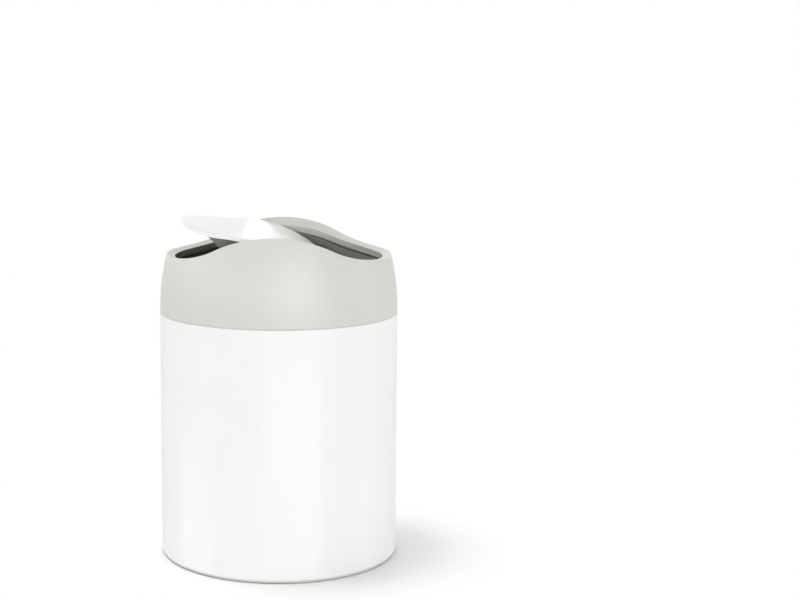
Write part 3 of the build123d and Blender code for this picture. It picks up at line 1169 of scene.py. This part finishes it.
    def dress(self) -> None:
        """Adds the collar's pieces with their finishes."""
        add_piece("wave_collar", self.shell(), Body.COLLAR, SATIN_ABS, ["collar_shell"])
        # the lining's grey is partly painted shade for the dark inside the collar
        add_piece("collar_lining", self.liner(), Body.COLLAR, LINING_ABS_AND_SHADE, ["collar_liner"])
        add_piece("plug_band", self.band(), Body.COLLAR, PALE_RUBBER, ["grip_band"])
        for side in Side:
            name = side.name.lower()
            add_piece(f"{name}_bush", self.bush(side), Body.COLLAR, ACETAL, [f"{name}_bushing"])


@dataclass(frozen=True)
class SwingLid:
    """The lid: a thin wave-shaped plate, the trough under it with the ballast, and its pins."""

    gap: float = 1.5
    sheet: float = 2.2
    edge_round: float = 0.8
    grid: int = 48  # faces across the plate
    belly_setback: float = 23.5
    belly_corner_gap: float = 0.8
    belly_wall: float = 1.8
    belly_round: float = 1.2
    belly_end_round: float = 0.7
    keel_drop: float = 14.0
    keel_half_width: float = 8.0
    seat_gap: float = 0.05
    web_points: int = 24  # edges along the top of each end of the trough
    screw_x: float = 18.0
    screw_end: float = 11.5
    boss_height: float = 9.5
    boss_web: float = 2.0
    boss_radius: float = 4.0
    recess_radius: float = 3.0
    screw_hole_radius: float = 1.35
    post_radius: float = 2.3
    post_height: float = 5.3
    post_spacing: float = 40.0
    lug_radius: float = 1.3
    lug_reach: float = 8.0
    lug_angle: float = math.radians(71.5)
    lug_length: float = 4.1
    fin_half_wall: float = 0.75
    pin_radius: float = 1.5
    pin_head_radius: float = 2.8
    pin_head: float = 1.6
    pin_web: float = 2.0
    pin_groove: float = 0.35
    clip_gap: float = 0.05
    clip_sheet: float = 0.5
    pin_end: float = 50.4

    @property
    def inset(self) -> float:
        """How far the lid's edge lies within the collar's line."""
        return HEAD.lip_inset + self.gap

    @property
    def keel(self) -> float:
        """Height of the trough's flat underside."""
        return HEAD.pivot_height - self.keel_drop

    @property
    def belly_half_width(self) -> float:
        """Distance of the trough's ends from the middle, along the pivot."""
        return HEAD.radius - self.belly_setback

    @property
    def belly_half_length(self) -> float:
        """Half length of the trough at its top, across the pivot."""
        low_radius = HEAD.radius_at(LID.tail_height) - self.inset
        return math.sqrt(low_radius**2 - self.belly_half_width**2) - self.belly_corner_gap

    @property
    def belly_end(self) -> float:
        """Height of the trough's upper ends, at the lid's underside."""
        return LID.height(self.belly_half_length) - self.sheet - self.seat_gap

    def under_height(self, x: float) -> float:
        """Height of the trough's outside at the distance x from the middle."""
        climb = (self.belly_end - self.keel) / (self.belly_half_length - self.keel_half_width)
        return self.keel + max(abs(x) - self.keel_half_width, 0.0) * climb

    def screw_places(self) -> list[Matrix]:
        """Where the four screws stand that hold the trough to the plate.

        Returns:
            For each screw, the way to it from the axis.
        """
        y = self.belly_half_width - self.screw_end
        ends = (-1, 1)
        return [Matrix.Translation((a * self.screw_x, b * y, 0)) for a in ends for b in ends]

    def plate(self) -> BMesh:
        """The wave-shaped plate, level: a grid made round, laid on the wave and made thick.

        Returns:
            A closed mesh, in its place.
        """
        mesh = bmesh.new()
        bmesh.ops.create_grid(mesh, x_segments=self.grid, y_segments=self.grid, size=1.0)
        for vert in mesh.verts:
            u, v = vert.co.xy  # the square is made a disc, with no pole in its middle
            x = u * math.sqrt(1 - v * v / 2)
            y = v * math.sqrt(1 - u * u / 2)
            angle = math.atan2(y, x)
            radius = HEAD.meet(LID, self.inset, angle)[0] * math.hypot(x, y)
            x = radius * math.cos(angle)
            vert.co = (x, radius * math.sin(angle), LID.height(x))
        whole = mesh.verts[:] + mesh.edges[:] + mesh.faces[:]
        below = bmesh.ops.duplicate(mesh, geom=whole)["geom"]
        lower = [item for item in below if isinstance(item, BMVert)]
        bmesh.ops.translate(mesh, vec=(0, 0, -self.sheet), verts=lower)
        for vert in lower:
            if vert.is_boundary:
                angle = math.atan2(vert.co.y, vert.co.x)
                spread = HEAD.radius_at(vert.co.z) - HEAD.radius_at(vert.co.z + self.sheet)
                vert.co.x += spread * math.cos(angle)
                vert.co.y += spread * math.sin(angle)
        rims = [edge for edge in mesh.edges if edge.is_boundary]
        lower_set = set(lower)
        upper_rim = [edge for edge in rims if edge.verts[0] not in lower_set]
        bmesh.ops.bridge_loops(mesh, edges=rims)
        bmesh.ops.recalc_face_normals(mesh, faces=mesh.faces[:])
        return rounded(mesh, upper_rim, self.edge_round)

    def trough(self) -> BMesh:
        """The trough under the plate, level, with its screw recesses, stop lugs and pin holes.

        Returns:
            A closed mesh, in its place.
        """
        width, length = self.belly_half_width, self.belly_half_length
        bottom = [(-length, self.belly_end), (-self.keel_half_width, self.keel)]
        bottom += [(-x, z) for x, z in reversed(bottom)]
        mesh = outline(bottom, closed=False)
        moved(mesh, Matrix.Translation((0, -width, 0)))
        sides = bmesh.ops.extrude_edge_only(mesh, edges=mesh.edges[:])["geom"]
        far = [item for item in sides if isinstance(item, BMVert)]
        bmesh.ops.translate(mesh, vec=(0, 2 * width, 0), verts=far)
        for side in Side:
            ends = [vert for vert in mesh.verts if vert.co.y * side.value > 0]
            ends.sort(key=lambda vert: vert.co.x)
            top = []
            for count in range(self.web_points - 1, 0, -1):
                x = length * (2 * count / self.web_points - 1)
                height = LID.height(x) - self.sheet - self.seat_gap
                top.append(mesh.verts.new((x, side.value * width, height)))
            mesh.faces.new(ends + top)
        bmesh.ops.recalc_face_normals(mesh, faces=mesh.faces[:])
        for along, size in ((True, self.belly_round), (False, self.belly_end_round)):
            corners = [
                edge
                for edge in mesh.edges
                if not edge.is_boundary
                and (abs(edge.verts[0].co.y - edge.verts[1].co.y) > width) == along
                and edge.calc_face_angle(0.0) > SHARP_ANGLE / 2
            ]
            rounded(mesh, corners, size)
        bmesh.ops.solidify(mesh, geom=mesh.faces[:], thickness=self.belly_wall)
        mesh = combined(mesh, self.trough_bosses(), Operation.UNION)
        return combined(mesh, self.trough_holes(), Operation.DIFFERENCE)

    def trough_bosses(self) -> BMesh:
        """What stands on the trough: screw bosses and ballast posts inside, stop lugs outside.

        Returns:
            One mesh with the closed parts, in their places.
        """
        floor = self.keel + self.belly_wall
        top = self.keel + self.boss_height
        parts = []
        for place in self.screw_places():
            boss = moved(cylinder(self.boss_radius, self.keel, top), place)
            for vert in boss.verts:
                if vert.co.z < top:
                    vert.co.z = self.under_height(vert.co.x) + self.belly_wall / 2
            parts.append(boss)
        for end in (-1, 1):
            post = cylinder(self.post_radius, floor - self.belly_wall / 2, floor + self.post_height)
            parts.append(moved(post, Matrix.Translation((0, end * self.post_spacing / 2, 0))))
        angle = self.lug_angle + math.asin((self.lug_radius + self.fin_half_wall) / self.lug_reach)
        start = self.belly_half_width - self.belly_wall / 2
        for side in Side:
            for turn in (-angle, angle):
                lug = cylinder(self.lug_radius, start, self.belly_half_width + self.lug_length)
                along_pivot(lug, side)
                across = (self.lug_reach * math.sin(turn), 0, -self.lug_reach * math.cos(turn))
                parts.append(moved(lug, Matrix.Translation(across)))
        return gathered(parts)

    def trough_holes(self) -> BMesh:
        """What is cut from the trough: the screws' recesses and holes, and the pins' holes.

        Returns:
            One mesh with the closed parts, in their places.
        """
        recess_foot = self.keel - SPARE
        recess_top = self.keel + self.boss_height - self.boss_web
        hole_top = recess_top + 2 * self.boss_web
        section = [
            (0, recess_foot),
            (self.recess_radius, recess_foot),
            (self.recess_radius, recess_top),
            (self.screw_hole_radius, recess_top),
            (self.screw_hole_radius, hole_top),
            (0, hole_top),
        ]
        parts = [moved(turned(section), place) for place in self.screw_places()]
        start = self.belly_half_width - 2 * self.belly_wall
        end = self.belly_half_width + SPARE
        parts += [along_pivot(cylinder(self.pin_radius, start, end), side) for side in Side]
        return gathered(parts)

    def pin(self, side: Side) -> BMesh:
        """A headed pin with a groove for its clip.

        Args:
            side: which end of the pivot.

        Returns:
            A closed mesh, in its place.
        """
        head_face = self.belly_half_width - self.pin_web
        groove = self.belly_half_width + self.clip_gap
        neck = self.pin_radius - self.pin_groove
        section = [
            (0, head_face - self.pin_head),
            (self.pin_head_radius, head_face - self.pin_head, self.pin_head * TURNED_ROUND),
            (self.pin_head_radius, head_face),
            (self.pin_radius, head_face),
            (self.pin_radius, groove),
            (neck, groove),
            (neck, groove + self.clip_sheet),
            (self.pin_radius, groove + self.clip_sheet),
            (self.pin_radius, self.pin_end, self.pin_radius * TURNED_ROUND),
            (0, self.pin_end),
        ]
        return along_pivot(turned(section), side)

    def dress(self) -> None:
        """Adds the lid's pieces with their finishes."""
        add_piece("wave_lid", tilted(self.plate()), Body.LID, GLOSS_ABS, ["lid_top"])
        # the trough's mid grey is painted shade for the dark under the lid
        add_piece("lid_trough", tilted(self.trough()), Body.LID, SHADE_GREY_ABS, ["lid_under"])
        for side in Side:
            name = side.name.lower()
            add_piece(f"{name}_pin", self.pin(side), Body.LID, BARE_STEEL, [f"{name}_pivot_pin"])
        for name, finish, node in (
            ("retaining_clips", BARE_STEEL, "pin_clips"),
            ("ballast_bar", ZINC_PLATE, "ballast_weight"),
            ("bar_screws", BARE_STEEL, "ballast_screws"),
            ("trough_screws", BARE_STEEL, "lid_screws"),
        ):
            add_piece(name, copied(node), Body.LID, finish, [node])


# ---------------------------------------------------------------- studio


@dataclass(frozen=True)
class Softbox:
    """A soft lamp that faces the bin. Its level is what a white card facing it would show of it.

    Angles are in degrees and lengths in metres.
    """

    name: str
    azimuth: float
    elevation: float
    distance: float
    width: float
    height: float
    level: float
    rays: Rays = Rays.LIGHT

    def build(self, target: Vector) -> None:
        """Adds the lamp. Azimuth 0 is in front of the bin, and 90 is to its right.

        Args:
            target: the point that it faces.
        """
        data = bpy.data.lights.new(self.name, "AREA")
        data.shape = "RECTANGLE"
        data.size = self.width
        data.size_y = self.height
        data.energy = self.level * math.pi**2 * self.distance**2
        turn, climb = math.radians(self.azimuth), math.radians(self.elevation)
        away = Vector(
            (math.sin(turn) * math.cos(climb), -math.cos(turn) * math.cos(climb), math.sin(climb))
        )
        lamp = added(self.name, data)
        lamp.location = target + away * self.distance
        lamp.rotation_euler = (-away).to_track_quat("-Z", "Y").to_euler()
        lamp.visible_camera = False
        lamp.visible_diffuse = self.rays is Rays.LIGHT
        lamp.visible_glossy = self.rays is Rays.HIGHLIGHT


@dataclass(frozen=True)
class Studio:
    """A plain pale floor, a white room, soft lamps and the camera. Sizes are in metres."""

    ambient: float = 0.22
    floor_size: float = 6.0
    floor_hole: float = 0.055  # radius
    floor_colour: str = "#f2f2f2"
    floor_boost: float = 1.22
    floor_roughness: float = 0.05
    fade_start: float = 0.085  # where the floor starts to turn white
    fade_end: float = 0.125
    fade_squeeze: tuple[float, float, float] = (1.0, 1.3, 1.0)
    camera_distance: float = 0.82
    camera_height: float = 0.2613
    camera_azimuth: float = math.radians(3.209)
    camera_pitch: float = math.radians(7.288)
    lens: float = 70.16  # millimetres
    shift_x: float = 0.1515
    shift_y: float = -0.05
    lamps: tuple[Softbox, ...] = (
        Softbox("left_front_light", -40.0, 6.0, 1.5, 1.0, 0.3, 0.32),
        Softbox("right_front_light", 35.0, 6.0, 1.5, 1.0, 0.3, 0.25),
        Softbox("left_light", -90.0, 6.0, 1.5, 0.8, 0.3, 0.1),
        Softbox("right_light", 90.0, 6.0, 1.5, 0.8, 0.3, 0.19),
        Softbox("top_light", -100.0, 74.0, 1.6, 0.8, 0.8, 0.39),
        Softbox("overhead_light", -100.0, 84.0, 1.6, 0.6, 0.6, 0.07),
        Softbox("rear_light", 170.0, 50.0, 1.6, 0.8, 0.8, 0.12),
        Softbox("low_rear_light", 185.0, 8.0, 1.5, 1.2, 0.3, 0.28),
        Softbox("slope_light", 65.0, 35.0, 1.5, 0.8, 0.5, 0.11),
        Softbox("broad_highlight", 15.9, 13.0, 1.5, 1.5, 0.5, 0.29, Rays.HIGHLIGHT),
        Softbox("middle_highlight", 15.9, 13.0, 1.5, 0.9, 0.5, 0.19, Rays.HIGHLIGHT),
        Softbox("left_highlight", -82.0, 14.0, 1.5, 1.1, 0.27, 0.06, Rays.HIGHLIGHT),
        Softbox("side_highlight", -29.0, 14.0, 1.5, 0.9, 0.27, 0.045, Rays.HIGHLIGHT),
        Softbox("right_highlight", 91.0, 14.0, 1.5, 0.35, 0.27, 0.013, Rays.HIGHLIGHT),
        Softbox("lid_highlight", 181.2, 7.5, 1.6, 0.11, 0.3, 0.0018, Rays.HIGHLIGHT),
    )

    def seen(self, tree: bpy.types.NodeTree) -> bpy.types.NodeSocket:
        """1 for the rays that show the background: straight, off gloss or through glass.

        Args:
            tree: the material's or the world's nodes.

        Returns:
            The socket that carries it.
        """
        path = add_node(tree, "ShaderNodeLightPath")
        total = path.outputs["Is Camera Ray"]
        for name in ("Is Glossy Ray", "Is Transmission Ray"):
            links = {0: total, 1: path.outputs[name]}
            total = add_node(tree, "ShaderNodeMath", {"operation": "MAXIMUM"}, links).outputs[0]
        return total

    def world(self) -> None:
        """A white room, which lights the bin less than it shows."""
        world = bpy.data.worlds.new("white_room")
        tree = empty_tree(world)
        white = linear("#ffffff")
        light = add_node(tree, "ShaderNodeBackground", {"Color": white, "Strength": self.ambient})
        shown = add_node(tree, "ShaderNodeBackground", {"Color": white, "Strength": 1.0})
        links = {0: self.seen(tree), 1: light.outputs[0], 2: shown.outputs[0]}
        both = add_node(tree, "ShaderNodeMixShader", links=links)
        add_node(tree, "ShaderNodeOutputWorld", links={"Surface": both.outputs[0]})
        bpy.context.scene.world = world

    def floor(self) -> None:
        """A pale floor that shows white, but for the bin's shadow.

        It is a mirror to what is glossy and clear from below. It has a hole under the bin, where
        nothing sees it, so that the foot isn't black from below.
        """
        mesh = bmesh.new()
        for radius in (self.floor_hole, self.floor_size / 2):
            bmesh.ops.create_circle(mesh, segments=RING_STEPS, radius=radius)
        bmesh.ops.bridge_loops(mesh, edges=mesh.edges[:])
        for face in mesh.faces:
            face.normal_update()
            if face.normal.z < 0:
                face.normal_flip()
        data = mesh_data("floor", mesh)
        material = bpy.data.materials.new("pale_paper_sweep")
        data.materials.append(material)
        added("floor", data)
        tree = empty_tree(material)
        plain = linear(self.floor_colour)
        bright = tuple(part * self.floor_boost for part in plain[:3]) + (1.0,)
        seen = self.seen(tree)
        tones = {"data_type": "RGBA", MIX_A: plain, MIX_B: bright}
        tone = add_node(tree, "ShaderNodeMix", tones, {0: seen})
        matt = add_node(tree, "ShaderNodeBsdfDiffuse", links={"Color": tone.outputs[MIX_RESULT]})
        white = add_node(tree, "ShaderNodeEmission", {"Strength": 1.0})
        squeeze = {"operation": "MULTIPLY", 1: self.fade_squeeze}
        links = {0: add_node(tree, "ShaderNodeTexCoord").outputs["Object"]}
        links = {0: add_node(tree, "ShaderNodeVectorMath", squeeze, links).outputs[0]}
        reach = add_node(tree, "ShaderNodeVectorMath", {"operation": "LENGTH"}, links)
        ends = {"From Min": self.fade_start, "From Max": self.fade_end}
        fade = add_node(tree, "ShaderNodeMapRange", ends, {"Value": reach.outputs["Value"]})
        links = {0: seen, 1: fade.outputs["Result"]}
        away = add_node(tree, "ShaderNodeMath", {"operation": "MULTIPLY"}, links)
        gloss = add_node(tree, "ShaderNodeLightPath").outputs["Is Glossy Ray"]
        under = add_node(tree, "ShaderNodeNewGeometry").outputs["Backfacing"]
        mirror = add_node(tree, "ShaderNodeBsdfGlossy", {"Roughness": self.floor_roughness})
        clear = add_node(tree, "ShaderNodeBsdfTransparent")
        shown = matt
        for share, other in ((away.outputs[0], white), (gloss, mirror), (under, clear)):
            links = {0: share, 1: shown.outputs[0], 2: other.outputs[0]}
            shown = add_node(tree, "ShaderNodeMixShader", links=links)
        add_node(tree, "ShaderNodeOutputMaterial", links={"Surface": shown.outputs[0]})

    def camera(self) -> None:
        """The camera: above the rim, slightly to the right, with the bin left of the middle."""
        data = bpy.data.cameras.new("camera")
        data.lens = self.lens
        data.shift_x = self.shift_x
        data.shift_y = self.shift_y
        camera = added("camera", data)
        turn = self.camera_azimuth
        across = Vector((math.sin(turn), -math.cos(turn), 0)) * self.camera_distance
        camera.location = across + Vector((0, 0, self.camera_height))
        camera.rotation_euler = (math.pi / 2 - self.camera_pitch, 0, turn)
        bpy.context.scene.camera = camera

    def build(self) -> None:
        """Adds the whole studio."""
        bpy.context.scene.view_settings.view_transform = "Standard"
        self.world()
        self.floor()
        middle = Vector((0, 0, HEAD.joint_height * MM / 2))
        for lamp in self.lamps:
            lamp.build(middle)
        self.camera()


def main() -> None:
    """Builds the bin from the foot up, then the studio."""
    logging.basicConfig(level=logging.INFO, format="%(name)s: %(message)s")
    for assembly in (Foot(), Can(), Collar(), SwingLid()):
        log.info("building %s", type(assembly).__name__)
        assembly.dress()
    Studio().build()


if __name__ == "__main__":
    main()
